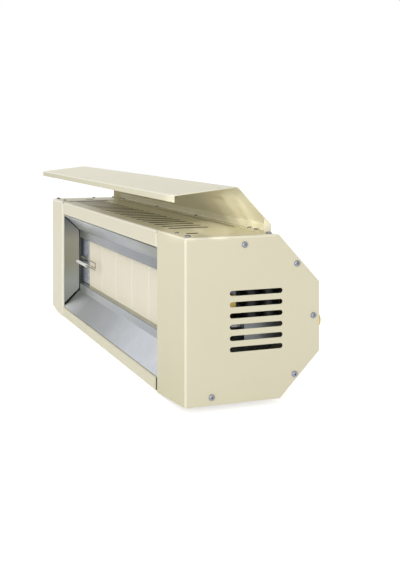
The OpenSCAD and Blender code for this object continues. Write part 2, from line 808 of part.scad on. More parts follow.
// Mixing tube: trumpet mouth, throat and slowly widening tube
throat_x = bulk_right + 6;
mouth_x = injector_tip - 8;
tube_end = burner_x0 + burner_w * 0.55;
function tube_in(x) = x < throat_x
    ? throat_r + (tube_r - throat_r) * (throat_x - x) / (throat_x - tube_end)
    : throat_r + (mouth_r - throat_r) * (1 - cos(90 * (x - throat_x) / (mouth_x - throat_x)));
function tube_out(x) = tube_in(x) + tube_wall;
tube_steps = [tube_end, throat_x, throat_x + (mouth_x - throat_x) * 0.4,
              throat_x + (mouth_x - throat_x) * 0.7, throat_x + (mouth_x - throat_x) * 0.9, mouth_x];
module mixing_tube() {
    color(bright) translate([0, tube_y, tube_z]) rotate([0, 90, 0]) rotate_extrude()
        polygon(concat([for (x = tube_steps) [tube_in(x), x]],
                       backwards([for (x = tube_steps) [tube_out(x), x]])));
}

// Gas train
module injector() {
    color(brass) translate([injector_tip, tube_y, tube_z]) rotate([0, 90, 0])
        difference() {
            union() {
                cylinder(r1 = 2.5, r2 = 4, h = 6);
                translate([0, 0, 6]) cylinder(r = 6.4, h = 8, $fn = 6);
                translate([0, 0, 14]) cylinder(r = 4, h = 9);
            }
            translate([0, 0, -over]) cylinder(r = 0.9, h = 8);
            translate([0, 0, 6]) cylinder(r = 2.2, h = 18);
        }
}
module injector_holder() {
    color(brass) difference() {
        translate([holder_x, tube_y - holder_size / 2, tube_z - holder_size / 2])
            cube([holder_w, holder_size, holder_size]);
        rod_x(holder_x - over, holder_x + 8, tube_y, tube_z, 4 + running);
        rod_z(tube_z - holder_size / 2 - over, tube_z, holder_x + holder_w / 2, tube_y, 3);
    }
}
module injector_bracket() {
    half = holder_size / 2 + 6;
    leg_y = tube_y - mouth_r - 4;
    color(zinc) difference() {
        along_z(tube_z - half, tube_z + half)
            folded_sheet([[bulk_right + 2 * sheet_t + fit, leg_y - shield_leg],
                          [bulk_right + 2 * sheet_t + fit, leg_y], [holder_x - fit, leg_y],
                          [holder_x - fit, tube_y + half]], sheet_t, hood_bend);
        rod_x(holder_x - 6, holder_x + over, tube_y, tube_z, 4 + seat);
    }
}
pipe_x = holder_x + holder_w / 2;
module outlet_pipe() {
    hz = tube_z - holder_size / 2;
    color(brass) difference() {
        union() {
            rod_z(port_z + pipe_bend, hz - fit, pipe_x, tube_y, pipe_r);
            translate([pipe_x, tube_y + pipe_bend, port_z + pipe_bend]) rotate([0, 90, 0])
                rotate([0, 0, -90]) quarter_ring(pipe_bend, pipe_r);
            rod_y(tube_y + pipe_bend, valve_y - fit, pipe_x, port_z, pipe_r);
        }
        rod_z(port_z + pipe_bend, hz + over, pipe_x, tube_y, pipe_r - 1);
        rod_y(tube_y + pipe_bend, valve_y + over, pipe_x, port_z, pipe_r - 1);
    }
}
module gas_valve_body() {
    color(bright) difference() {
        union() {
            translate([valve_x - valve_w / 2, valve_y, valve_z])
                cube([valve_w, valve_l, valve_h]);
            for (y = coil_y)
                rod_z(valve_z + valve_h - over, guide_top, valve_x, y, guide_r + guide_wall);
        }
        for (y = coil_y) {
            rod_z(seat_z, valve_z + valve_h - 1.5, valve_x, y, chamber_r);
            rod_z(seat_z, guide_top - cap_t, valve_x, y, guide_r);
            rod_z(valve_z + 8, seat_z + over, valve_x, y, 3.5);
        }
        rod_y(coil_y[0], coil_y[1], valve_x, valve_z + 9, 3.5);
        rod_y(valve_y - over, coil_y[0], valve_x, port_z, 3.5);
        rod_y(coil_y[1], valve_y + valve_l + over, valve_x, port_z, 3.5);
    }
}
module coil(y) {
    color(black) difference() {
        union() {
            rod_z(coil_z, coil_z + coil_h, valve_x, y, coil_r);
            translate([plug_x0, y - plug_w / 2, coil_z + coil_h - plug_w - 2])
                cube([valve_x - plug_x0 - guide_r - guide_wall - seat, plug_w, plug_w]);
        }
        rod_z(coil_z - over, coil_z + coil_h + over, valve_x, y, guide_r + guide_wall + fit);
    }
}
// Plunger with its valve disc
module plunger(y) {
    color(zinc) union() {
        rod_z(seat_z + seat, seat_z + seat + disc_t, valve_x, y, disc_r);
        rod_z(seat_z + seat, plunger_top, valve_x, y, plunger_r);
    }
}
// Helical spring, swept along its turns
spring_turns = 5;
spring_wire = 0.4;
spring_r = 3.2;
spring_sides = 6;
spring_rings = 8;
module return_spring(y) {
    n = spring_turns * spring_rings;
    height = spring_len - 2 * spring_wire;
    points = [for (i = [0:n], k = [0:spring_sides - 1])
        let (a = 360 * i / spring_rings, b = 360 * k / spring_sides,
             r = spring_r + spring_wire * cos(b))
        [r * cos(a), r * sin(a), spring_wire + height * i / n + spring_wire * sin(b)]];
    sides = [for (i = [0:n - 1], k = [0:spring_sides - 1])
        let (a = i * spring_sides + k, b = i * spring_sides + (k + 1) % spring_sides)
        each [[a, b, b + spring_sides], [a, b + spring_sides, a + spring_sides]]];
    ends = [[for (k = [0:spring_sides - 1]) spring_sides - 1 - k],
            [for (k = [0:spring_sides - 1]) n * spring_sides + k]];
    color(bright) translate([valve_x, y, plunger_top + fit])
        polyhedron(points, concat(sides, ends));
}
module valve_bracket() {
    color(zinc) along_y(valve_y + 6, valve_y + valve_l - 6)
        folded_sheet([[bulk_right + 2 * sheet_t + fit, valve_z + bracket_leg],
                      [bulk_right + 2 * sheet_t + fit, valve_z - fit],
                      [valve_x + valve_w / 2, valve_z - fit]], -sheet_t, hood_bend);
}
module inlet_pipe() {
    color(brass) difference() {
        rod_y(valve_y + valve_l + fit, body_d - inlet_deep, valve_x, port_z, pipe_r);
        rod_y(valve_y + valve_l - over, body_d, valve_x, port_z, pipe_r - 1);
    }
}
module gas_inlet() {
    color(brass) difference() {
        union() {
            rod_y(body_d - inlet_deep + fit, rear_reach, valve_x, port_z, inlet_r - 0.2);
            translate([valve_x, body_d + fit, port_z]) rotate([-90, 0, 0])
                cylinder(r = inlet_r + 4, h = 8, $fn = 6);
        }
        rod_y(body_d - inlet_deep - over, rear_reach + over, valve_x, port_z, inlet_r - 3.5);
    }
}
module hex_nut(x, z, r, bore, y0, h) {
    difference() {
        translate([x, y0, z]) rotate([-90, 0, 0]) cylinder(r = r, h = h, $fn = 6);
        rod_y(y0 - over, y0 + h + over, x, z, bore);
    }
}
module inlet_nut() {
    color(brass) hex_nut(valve_x, port_z, inlet_r + 4, inlet_r - 0.2 + running,
                         body_d - sheet_t - fit - 6, 6);
}

// Electrics
gland_r = 8;
gland_x = bulk_left - 46;
gland_z = 118;
module ignition_box() {
    color(black) difference() {
        union() {
            translate([box_x1 - box_w, box_y, box_z]) cube([box_w, box_d, box_h]);
            for (s = [[box_y - 8, box_z + 10], [box_y + box_d, box_z + box_h - 22]])
                translate([box_x1 - 3, s[0], s[1]]) cube([3, 8, 12]);
        }
        for (y = [box_y + 12:12:box_y + box_d - 12])
            translate([box_x1 - box_w - over, y - 1.5, box_z + 12])
                cube([over + 1.2, 3, box_h - 24]);
    }
}
module terminal_block() {
    color(white) difference() {
        translate([box_x1 - 18, 84, 28]) cube([18, 48, 16]);
        for (i = [0:4]) translate([box_x1 - 20, 88 + i * 9, 36]) cube([6, 5, 10]);
    }
}
module cable_gland() {
    color(black) difference() {
        union() {
            rod_y(body_d - 9, body_d + 10, gland_x, gland_z, gland_r - 0.2);
            translate([gland_x, body_d + fit, gland_z]) rotate([-90, 0, 0])
                cylinder(r = gland_r + 3.5, h = 6, $fn = 6);
            translate([gland_x, body_d + 6 + fit, gland_z]) rotate([-90, 0, 0])
                cylinder(r1 = gland_r + 2, r2 = gland_r - 1.5, h = 12);
        }
        rod_y(body_d - 10, body_d + 20, gland_x, gland_z, 3.8);
    }
}
module gland_nut() {
    color(black) hex_nut(gland_x, gland_z, gland_r + 3.5, gland_r - 0.2 + running,
                         body_d - sheet_t - fit - 5, 5);
}
module electrode_ceramic() {
    color(white) difference() {
        union() {
            rod_x(electrode_x0, electrode_x1, electrode_y, electrode_z, electrode_r);
            rod_x(bulk_left - sheet_t - 5, bulk_left - sheet_t - fit, electrode_y, electrode_z,
                  electrode_r + 2.5);
        }
        rod_x(electrode_x0 - over, electrode_x1 + over, electrode_y, electrode_z, wire_r + fit);
    }
}
module electrode_wire() {
    color(zinc) {
        rod_x(electrode_x0 - 4, loop_x1 - 3, electrode_y, electrode_z, wire_r);
        translate([loop_x1 - 3, electrode_y, electrode_z]) sphere(r = wire_r * 1.2);
    }
}
// Earth wire: a flat loop held by the burner strip
module earth_loop() {
    top_z = electrode_z + loop_h;
    low_z = electrode_z + 3.5;
    color(zinc) union() {
        rod_x(loop_x0, loop_x1, electrode_y, top_z, wire_r);
        rod_x(loop_x0 + 6, loop_x1, electrode_y, low_z, wire_r);
        rod_z(low_z, top_z, loop_x1, electrode_y, wire_r);
        for (p = [[loop_x1, top_z], [loop_x1, low_z], [loop_x0, top_z]])
            translate([p[0], electrode_y, p[1]]) sphere(r = wire_r);
        rod_x(plenum_x0 - 12, loop_x0, electrode_y, top_z, wire_r);
        translate([plenum_x0 - 12, electrode_y, top_z]) sphere(r = wire_r);
        rod_y(electrode_y, strip_y - fit, plenum_x0 - 12, top_z, wire_r);
    }
}
module electrode_bracket() {
    color(zinc) difference() {
        along_x(bulk_left - sheet_t - 5 - sheet_t - fit, bulk_left - sheet_t - 5 - fit)
            translate([electrode_y - 12, electrode_z - 9]) square([34, 18]);
        rod_x(bulk_left - 12, bulk_left, electrode_y, electrode_z, electrode_r + fit);
    }
    color(zinc) translate([bulk_left - sheet_t - 5 - fit, electrode_y + 14, electrode_z - 9])
        cube([5, 8, 18]);
}
module ignition_lead() {
    x0 = electrode_x0 - 4;
    bend = 12;
    x1 = x0 - bend;
    color(black) {
        difference() {
            rod_x(x0 - 3, x0 + 12, electrode_y, electrode_z, electrode_r + 2.2);
            rod_x(x0 - fit, x0 + 12 + over, electrode_y, electrode_z, electrode_r + fit);
        }
        rod_x(x0 - 2, x0 - fit, electrode_y, electrode_z, lead_r);
        translate([x0, electrode_y + bend, electrode_z]) rotate([0, 0, 180])
            quarter_ring(bend, lead_r);
        rod_y(electrode_y + bend, box_y - fit, x1, electrode_z, lead_r);
    }
}
module valve_harness() {
    bend = harness_bend;
    x0 = box_x1 - 24;
    x1 = plug_x0 + harness_r + 1;
    half = plug_w / 2 + fit;
    color(black) {
        rod_y(box_y + box_d + fit, harness_y - bend, x0, harness_z, harness_r);
        translate([x0 + bend, harness_y - bend, harness_z]) rotate([0, 0, 90])
            quarter_ring(bend, harness_r);
        rod_x(x0 + bend, x1 - bend, harness_y, harness_z, harness_r);
        translate([x1 - bend, harness_y - bend, harness_z]) quarter_ring(bend, harness_r);
        rod_y(coil_y[1] + half, harness_y - bend, x1, harness_z, harness_r);
        rod_y(coil_y[0] + half, coil_y[1] - half, x1, harness_z, harness_r);
    }
}

// Fasteners
module side_screws() {
    color(bright) for (s = [0, 1]) mirror([s, 0, 0]) for (p = side_spots)
        translate([end_x + fit, p[0], p[1]]) rotate([0, 90, 0])
            pan_screw(head_r, head_h, shank_r, 7);
}
module top_screws() {
    color(bright) translate([left_extra[0], left_extra[1], body_h + sheet_t + fit])
        pan_screw(small_head_r, small_head_h, small_shank_r, 6);
    color(bright) for (s = [-1, 1]) {
        translate([s * (end_x - top_spot[0]), top_spot[1], body_h + sheet_t + fit])
            pan_screw(head_r, head_h, shank_r, 6);
        translate([s * (end_x - top_small_spot[0]), top_small_spot[1], body_h + sheet_t + fit])
            pan_screw(small_head_r, small_head_h, small_shank_r, 6);
        translate([s * (end_x - top_rear_spot[0]), rear_fold_y - top_rear_spot[1],
                   body_h + sheet_t + fit])
            pan_screw(head_r, head_h, shank_r, 6);
    }
}
module hood_screws() {
    color(bright) for (s = [-1, 1]) for (x = hood_screw_x)
        translate([s * x, hood_screw_y, hood_base + sheet_t + fit])
            pan_screw(small_head_r, small_head_h, small_shank_r, 7);
}
module back_screws() {
    color(bright) for (x = back_screw_x)
        translate([x, body_d + fit, back_screw_z]) rotate([-90, 0, 0])
            pan_screw(small_head_r, small_head_h, small_shank_r, 6);
}

place() casing();
place() bottom_panel();
place() right_end_cover();
place() left_end_cover();
place() right_bulkhead();
place() left_bulkhead();
place() hood();
place() top_reflector();
place() bottom_reflector();
place() left_reflector();
place() right_reflector();
place() left_burner_bracket();
place() right_burner_bracket();
place() plenum();
place() plaque_gasket();
place() plaque(1);  // plaque_1
place() plaque(2);  // plaque_2
place() plaque(3);  // plaque_3
place() plaque(4);  // plaque_4
place() plaque(5);  // plaque_5
place() plaque_cement();
place() heat_shield();
place() mixing_tube();
place() injector();
place() injector_holder();
place() injector_bracket();
place() outlet_pipe();
place() gas_valve_body();
place() coil(coil_y[0]);  // coil_1
place() coil(coil_y[1]);  // coil_2
place() plunger(coil_y[0]);  // plunger_1
place() plunger(coil_y[1]);  // plunger_2
place() return_spring(coil_y[0]);  // return_spring_1
place() return_spring(coil_y[1]);  // return_spring_2
place() valve_bracket();
place() inlet_pipe();
place() gas_inlet();
place() inlet_nut();
place() ignition_box();
place() terminal_block();
place() cable_gland();
place() gland_nut();
place() electrode_ceramic();
place() electrode_wire();
place() earth_loop();
place() electrode_bracket();
place() ignition_lead();
place() valve_harness();
place() side_screws();
place() top_screws();
place() hood_screws();
place() back_screws();
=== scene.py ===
import json
import math

import bmesh
import bpy
from mathutils import Matrix, Vector
from mathutils.bvhtree import BVHTree


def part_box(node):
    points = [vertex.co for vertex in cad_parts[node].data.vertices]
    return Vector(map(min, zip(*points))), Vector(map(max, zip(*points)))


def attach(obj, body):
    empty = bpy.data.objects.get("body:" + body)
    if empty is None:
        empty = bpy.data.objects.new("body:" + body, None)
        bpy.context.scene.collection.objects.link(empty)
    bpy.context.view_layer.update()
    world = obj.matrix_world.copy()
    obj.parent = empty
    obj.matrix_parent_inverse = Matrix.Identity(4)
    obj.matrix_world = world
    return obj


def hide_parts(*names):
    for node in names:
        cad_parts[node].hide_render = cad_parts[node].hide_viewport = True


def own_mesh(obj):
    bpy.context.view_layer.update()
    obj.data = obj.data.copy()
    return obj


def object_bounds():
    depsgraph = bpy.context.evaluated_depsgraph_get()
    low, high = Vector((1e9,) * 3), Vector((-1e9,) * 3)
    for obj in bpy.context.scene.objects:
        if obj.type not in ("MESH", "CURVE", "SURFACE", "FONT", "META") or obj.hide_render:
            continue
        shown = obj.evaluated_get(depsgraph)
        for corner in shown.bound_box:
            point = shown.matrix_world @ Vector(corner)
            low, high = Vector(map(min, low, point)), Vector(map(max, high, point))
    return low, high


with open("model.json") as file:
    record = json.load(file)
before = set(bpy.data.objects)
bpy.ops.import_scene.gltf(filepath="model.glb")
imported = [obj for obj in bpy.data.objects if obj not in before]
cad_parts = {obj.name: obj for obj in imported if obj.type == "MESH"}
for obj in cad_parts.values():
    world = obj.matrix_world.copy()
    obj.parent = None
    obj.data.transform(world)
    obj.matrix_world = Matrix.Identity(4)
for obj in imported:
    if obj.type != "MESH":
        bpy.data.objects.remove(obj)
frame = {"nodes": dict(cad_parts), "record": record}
cad_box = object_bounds()
NODES = frame["nodes"]
BODY = "heater_body"
MM = 0.001


def srgb(r, g, b):
    """Linear colour of an 8-bit display colour."""
    def linear(v):
        v /= 255.0
        return v / 12.92 if v <= 0.04045 else ((v + 0.055) / 1.055) ** 2.4
    return (linear(r), linear(g), linear(b), 1.0)


def times(colour, factor):
    """Colour made lighter or darker, up to white."""
    return tuple(min(1.0, c * factor) for c in colour[:3]) + (1.0,)


# Camera at the photograph's viewpoint, level, with the frame shifted down
CAMERA_AT = Vector((1.5626, -0.5301, 0.3692))
CAMERA_YAW = math.radians(21.15)
SENSOR = 36.0
LENS = 59.737
SHIFT_Y = -0.2676


def make_camera():
    data = bpy.data.cameras.new("camera")
    data.sensor_fit = "VERTICAL"
    data.sensor_width = SENSOR
    data.sensor_height = SENSOR
    data.lens = LENS
    data.shift_y = SHIFT_Y
    cam = bpy.data.objects.new("camera", data)
    cam.location = CAMERA_AT
    look = Vector((-math.cos(CAMERA_YAW), math.sin(CAMERA_YAW), 0.0))
    cam.rotation_euler = look.to_track_quat("-Z", "Y").to_euler()
    bpy.context.scene.collection.objects.link(cam)
    bpy.context.scene.camera = cam


make_camera()
bpy.context.scene.view_settings.view_transform = "Standard"


class Nodes:
    """Short calls for a material's node tree."""

    def __init__(self, name):
        self.material = bpy.data.materials.new(name)
        self.material.use_nodes = True
        self.tree = self.material.node_tree
        self.shader = self.tree.nodes["Principled BSDF"]

    def add(self, kind, **values):
        """A new node with values on its inputs or, where it has no such input, its settings."""
        node = self.tree.nodes.new(kind)
        for key, value in values.items():
            if key in node.inputs:
                node.inputs[key].default_value = value
            else:
                setattr(node, key, value)
        return node

    def set(self, **values):
        """Constants on the shader's own inputs, named with _ for a space."""
        for key, value in values.items():
            self.shader.inputs[key.replace("_", " ")].default_value = value

    def join(self, source, target):
        self.tree.links.new(source, target)

    def place(self):
        return self.add("ShaderNodeTexCoord").outputs["Object"]

    def stretched(self, scale):
        """Place in the part, scaled by axis, for grain that runs one way."""
        node = self.add("ShaderNodeMapping", Scale=scale)
        self.join(self.place(), node.inputs["Vector"])
        return node.outputs["Vector"]

    def split(self, vector):
        node = self.add("ShaderNodeSeparateXYZ")
        self.join(vector, node.inputs["Vector"])
        return [node.outputs[axis] for axis in "XYZ"]

    def at(self, axis):
        """Place in the part along one axis, in metres."""
        return self.split(self.place())["XYZ".index(axis)]

    def facing(self):
        """The three parts of the surface's direction."""
        return self.split(self.add("ShaderNodeNewGeometry").outputs["Normal"])

    def along(self, axis, start, end):
        """0 to 1 along an axis of the part, between two places in metres."""
        return self.grey(self.at(axis), 0.0, 1.0, start, end)

    def noise(self, scale, detail, rough=0.5, vector=None):
        node = self.add("ShaderNodeTexNoise", Scale=scale, Detail=detail, Roughness=rough)
        self.join(vector or self.place(), node.inputs["Vector"])
        return node.outputs["Fac"]

    def ramp(self, source, stops):
        node = self.add("ShaderNodeValToRGB")
        elements = node.color_ramp.elements
        while len(elements) < len(stops):
            elements.new(0.5)
        for element, (at, colour) in zip(elements, stops):
            element.position = at
            element.color = colour
        self.join(source, node.inputs["Fac"])
        return node.outputs["Color"]

    def grey(self, source, low, high, start=0.0, end=1.0):
        """From low to high as the source goes from start to end."""
        ends = {"From Min": start, "From Max": end, "To Min": low, "To Max": high}
        node = self.add("ShaderNodeMapRange", **ends)
        self.join(source, node.inputs["Value"])
        return node.outputs["Result"]

    def math(self, operation, *values):
        node = self.add("ShaderNodeMath", operation=operation)
        for i, value in enumerate(values):
            if isinstance(value, float):
                node.inputs[i].default_value = value
            else:
                self.join(value, node.inputs[i])
        return node.outputs[0]

    def all_of(self, *masks):
        """Product of masks."""
        product = masks[0]
        for mask in masks[1:]:
            product = self.math("MULTIPLY", product, mask)
        return product

    def multiply(self, first, second, factor=1.0):
        node = self.add("ShaderNodeMix", data_type="RGBA", blend_type="MULTIPLY")
        if isinstance(factor, float):
            node.inputs["Factor"].default_value = factor
        else:
            self.join(factor, node.inputs["Factor"])
        self.join(first, node.inputs["A"])
        self.join(second, node.inputs["B"])
        return node.outputs["Result"]

    def mix(self, first, colour, factor):
        """From a colour socket to a fixed colour."""
        node = self.add("ShaderNodeMix", data_type="RGBA")
        node.inputs["B"].default_value = colour
        self.join(first, node.inputs["A"])
        self.join(factor, node.inputs["Factor"])
        return node.outputs["Result"]

    def bump(self, height, distance, strength):
        node = self.add("ShaderNodeBump", Strength=strength, Distance=distance)
        self.join(height, node.inputs["Height"])
        self.join(node.outputs["Normal"], self.shader.inputs["Normal"])


def shades(*greys):
    """Stops of a ramp, evenly spaced, from multipliers (r, g, b)."""
    return [(i / (len(greys) - 1), tuple(g) + (1.0,)) for i, g in enumerate(greys)]


WHITE = (1.0, 1.0, 1.0, 1.0)
CREAM = srgb(226, 220, 193)
# Painted highlight of the cream paint on its folds
FOLD_HIGHLIGHT_CREAM = srgb(253, 249, 232)
# Painted shade on the walls of slots
SLOT_SHADE = srgb(48, 43, 28)
# Painted shade, near black, inside the gaps round the mouth
GAP_SHADE = srgb(24, 22, 16)
GALVANISED = srgb(176, 182, 188)
BRACKET_ZINC = srgb(180, 186, 192)
SHEET = srgb(196, 199, 203)
BLOTCH = (0.86, 0.87, 0.88, 1.0)
FLAKE = (0.55, 0.56, 0.58, 1.0)

# Turn away from the axes at which a fold's painted highlight starts and is full, and its strength
PLAIN_FOLD_HIGHLIGHT = (0.03, 0.20, 0.85)
FOLD_HIGHLIGHTS = {"casing": (0.005, 0.06, 1.0), "left_end_cover": (0.0, 0.02, 1.0),
         "right_end_cover": (0.03, 0.20, 0.65)}

# Where slots lie whose walls get painted shade: down from a sheet's top, and back from its front
SLOT_DEPTH = 2.0 * MM
SLOTS_START = 15.0 * MM
SLOTS_END = 95.0 * MM

# Painted shade in the gaps round the mouth: on a bulkhead's inner side in front of this depth,
# and so far up the bottom panel
GAP_SHADE_Y = -0.074
GAP_SHADE_H = 2.0 * MM


def powder_coat(m, glossy, dull):
    """Orange peel of a powder coat, between two roughnesses. Returns its faint change of tone."""
    m.join(m.grey(m.noise(60.0, 2.0), glossy, dull), m.shader.inputs["Roughness"])
    m.set(Specular_IOR_Level=0.3)
    m.bump(m.noise(520.0, 2.0), 0.00004, 0.5)
    return m.ramp(m.noise(9.0, 2.0), [(0.3, times(CREAM, 0.985)), (0.7, times(CREAM, 1.012))])


def painted(name, node=None, fold=PLAIN_FOLD_HIGHLIGHT, front=()):
    """Powder-coated sheet with painted highlights on its folds. A node given has painted shade on
    the walls of its slots. front, (axis, start, end, stops), paints shade on the faces that look
    forwards."""
    m = Nodes(name)
    tone = powder_coat(m, 0.30, 0.38)
    facing = m.facing()
    size = [m.math("ABSOLUTE", part) for part in facing]
    largest = m.math("MAXIMUM", m.math("MAXIMUM", size[0], size[1]), size[2])
    start, end, gain = fold
    # Painted highlight on the folds
    fold_highlight = m.all_of(m.grey(m.math("SUBTRACT", 1.0, largest), 0.0, gain, start, end),
                    m.math("LESS_THAN", facing[1], 0.25), m.math("GREATER_THAN", facing[2], -0.25))
    base = m.mix(tone, FOLD_HIGHLIGHT_CREAM, fold_highlight)
    if front:
        # Painted shade on the faces that look forwards
        *run, stops = front
        forwards = m.math("LESS_THAN", facing[1], -0.9)
        base = m.multiply(base, m.ramp(m.along(*run), stops), forwards)
    if node:
        low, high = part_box(node)
        # Painted shade on the walls of the slots
        slot_shade = m.all_of(m.math("LESS_THAN", size[2], 0.5),
                       m.math("GREATER_THAN", m.at("Z"), high.z - SLOT_DEPTH),
                       m.math("GREATER_THAN", m.at("Y"), low.y + SLOTS_START),
                       m.math("LESS_THAN", m.at("Y"), low.y + SLOTS_END))
        base = m.mix(base, SLOT_SHADE, slot_shade)
    m.join(base, m.shader.inputs["Base Color"])
    return m.material


def gap_shaded(name, axis, edge):
    """Cream sheet whose inner side, seen only through the gaps round the mouth, gets painted shade,
    near black, on the low side of an edge along Y or Z. A bulkhead's inner side, with its edge
    along Y, is bare."""
    m = Nodes(name)
    tone = powder_coat(m, 0.35, 0.45)
    facing = m.facing()
    across = m.math("ABSOLUTE", facing[0]) if axis == "Y" else facing[2]
    inner = m.math("GREATER_THAN", across, 0.5)
    if axis == "Y":
        tone = m.mix(tone, GALVANISED, inner)
    # Painted shade on the inner side, short of the edge
    dark = m.all_of(inner, m.math("LESS_THAN", m.at(axis), edge))
    m.join(m.mix(tone, GAP_SHADE, dark), m.shader.inputs["Base Color"])
    return m.material


def sheet_metal(name, colour, rough, tones=(), metallic=1.0, spangle=0.0, grain=(1.0, 1.0, 1.0)):
    """Rolled sheet. Each of tones, (axis, start, end, stops), paints shade and reflection into it
    along the part, within a mask (axis, start, end) if it has one. Spangle above 0 gives it the
    flakes of a zinc coat."""
    m = Nodes(name)
    m.set(Metallic=metallic)
    streak = m.noise(60.0, 3.0, 0.5, m.stretched(grain))
    base = m.ramp(streak, [(0.25, times(colour, 0.95)), (0.75, times(colour, 1.03))])
    # Painted shade and reflection along the part
    for axis, start, end, stops, *mask in tones:
        shade = m.ramp(m.along(axis, start, end), stops)
        base = m.multiply(base, shade, m.along(*mask) if mask else 1.0)
    if tones:
        base = m.multiply(base, m.ramp(m.noise(11.0, 1.0, 0.4), [(0.3, BLOTCH), (0.7, WHITE)]))
    if spangle:
        flakes = m.add("ShaderNodeTexVoronoi", Scale=160.0)
        m.join(m.place(), flakes.inputs["Vector"])
        shade = m.ramp(flakes.outputs["Color"], [(0.0, FLAKE), (1.0, WHITE)])
        base = m.multiply(base, shade, spangle)
    m.join(base, m.shader.inputs["Base Color"])
    m.join(m.grey(streak, rough - 0.03, rough + 0.05), m.shader.inputs["Roughness"])
    m.bump(streak, 0.00002, 0.3)
    return m.material


def matt(name, colour, rough, scale, depth, spread=0.05):
    """Matt surface with a fine grain."""
    m = Nodes(name)
    grain = m.noise(scale, 3.0)
    m.join(m.ramp(grain, [(0.3, times(colour, 1.0 - spread)), (0.7, colour)]),
           m.shader.inputs["Base Color"])
    m.set(Roughness=rough)
    m.bump(grain, depth, 0.5)
    return m.material


MATERIALS = {
    "cream_paint": painted("cream_paint"),
    "stud_paint": matt("stud_paint", srgb(190, 185, 160), 0.5, 500.0, 0.00002),
    "bright_sheet": sheet_metal("bright_sheet", SHEET, 0.27, grain=(0.15, 1.0, 1.0)),
    "galvanised": sheet_metal("galvanised", srgb(160, 168, 180), 0.42, metallic=0.75, spangle=0.5),
    "plaque_ceramic": matt("plaque_ceramic", srgb(249, 242, 221), 0.85, 900.0, 0.00005, 0.03),
    "cement": matt("cement", srgb(255, 253, 240), 0.9, 700.0, 0.0001),
    "fibre": matt("fibre", srgb(206, 198, 168), 0.95, 400.0, 0.0003),
    "white_ceramic": matt("white_ceramic", srgb(248, 247, 243), 0.2, 300.0, 0.00001),
    "brass": sheet_metal("brass", srgb(206, 176, 104), 0.25),
    "pipe": sheet_metal("pipe", srgb(186, 188, 190), 0.3),
    "valve_alloy": sheet_metal("valve_alloy", srgb(168, 171, 175), 0.42),
    "coil_resin": matt("coil_resin", srgb(26, 26, 28), 0.4, 500.0, 0.00005),
    "black_plastic": matt("black_plastic", srgb(30, 30, 32), 0.5, 600.0, 0.00005),
    "plunger_steel": sheet_metal("plunger_steel", srgb(170, 172, 176), 0.25),
    "spring_steel": sheet_metal("spring_steel", srgb(170, 172, 176), 0.3),
    "heat_wire": sheet_metal("heat_wire", srgb(150, 143, 118), 0.35),
    "lead_rubber": matt("lead_rubber", srgb(28, 27, 27), 0.6, 400.0, 0.00005),
    "screw_zinc": sheet_metal("screw_zinc", srgb(146, 149, 160), 0.13),
}


def paint_nodes():
    """Each CAD node in the material of its slot."""
    for entry in frame["record"]["subparts"]:
        materials = NODES[entry["node"]].data.materials
        materials.clear()
        materials.append(MATERIALS[entry["material_slot"]])


paint_nodes()

# Height of the step between a reflector's flare and the ledge at the plaques
STEP_H = 14.0 * MM

# Painted reflections, as multipliers along the bottom and top reflectors from the left, and up
# the side ones
BOTTOM_RUN = shades((0.98, 0.98, 0.94), (0.42, 0.42, 0.40), (0.53, 0.535, 0.52),
                    (0.78, 0.79, 0.79), (0.99, 1.0, 1.02), (1.06, 1.07, 1.09))
BOTTOM_STEP = shades((1.0, 1.0, 0.96), (0.90, 0.92, 0.92), (0.72, 0.74, 0.75),
                     (0.48, 0.50, 0.51), (0.44, 0.46, 0.47))
TOP_RUN = shades((1.50, 1.52, 1.56), (1.66, 1.68, 1.74), (1.24, 1.29, 1.40), (0.56, 0.59, 0.60))
TOP_STEP = shades((0.29, 0.28, 0.26), (0.21, 0.21, 0.20), (0.25, 0.25, 0.24), (0.31, 0.31, 0.29))
SIDE_RUN = shades((0.32, 0.32, 0.27), (0.42, 0.44, 0.38), (0.41, 0.38, 0.27),
                  (0.42, 0.40, 0.30), (0.15, 0.16, 0.17))

# Across the bottom ledge: painted warm light off the plaques, and a painted shadow line right
# below them
LEDGE_D = 10.0 * MM
LEDGE_GLOW = (1.9, 1.75, 1.35, 1.0)
LEDGE_SHADOW = (0.5, 0.44, 0.30, 1.0)
LEDGE_RUN = [(0.0, WHITE), (0.90, LEDGE_GLOW), (0.91, LEDGE_SHADOW), (1.0, LEDGE_SHADOW)]

# Painted shade, as multipliers up the right cover's front and along the hood's front from the left
COVER_FRONT_SHADE = shades((0.86, 0.86, 0.77), (0.92, 0.92, 0.84), (0.95, 0.95, 0.88))
HOOD_FRONT_SHADE = shades((0.76, 0.76, 0.67), (1.0, 1.0, 0.96))


def repaint(node, material):
    NODES[node].data.materials[0] = material


def bottom_tones():
    """Painted reflections along the reflector, along its step and ledge, and across the ledge."""
    low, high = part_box("bottom_reflector")
    edge = high.z - STEP_H
    return [("X", low.x, high.x, BOTTOM_RUN),
            ("X", low.x, high.x, BOTTOM_STEP, "Z", edge - 0.5 * MM, edge + 0.5 * MM),
            ("Y", high.y - LEDGE_D, high.y, LEDGE_RUN, "Z", high.z - 0.2 * MM, high.z)]


def top_tones():
    """Painted reflection along the reflector, and painted shade along its step and ledge."""
    low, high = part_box("top_reflector")
    edge = low.z + STEP_H
    return [("X", low.x, high.x, TOP_RUN),
            ("X", low.x, high.x, TOP_STEP, "Z", edge + 2.5 * MM, edge + 1.0 * MM)]


def shade_mouth():
    """Bright sheet of each reflector with painted reflections of the mouth's walls, and its
    brackets.
    """
    low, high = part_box("left_reflector")
    side = [("Z", low.z, high.z, SIDE_RUN)]
    for node, tones in (("bottom_reflector", bottom_tones()), ("top_reflector", top_tones()),
                        ("left_reflector", side), ("right_reflector", side)):
        repaint(node, sheet_metal(node, SHEET, 0.24, tones))
    for node in ("left_burner_bracket", "right_burner_bracket"):
        repaint(node, sheet_metal(node, BRACKET_ZINC, 0.45, metallic=0.5, spangle=0.8))


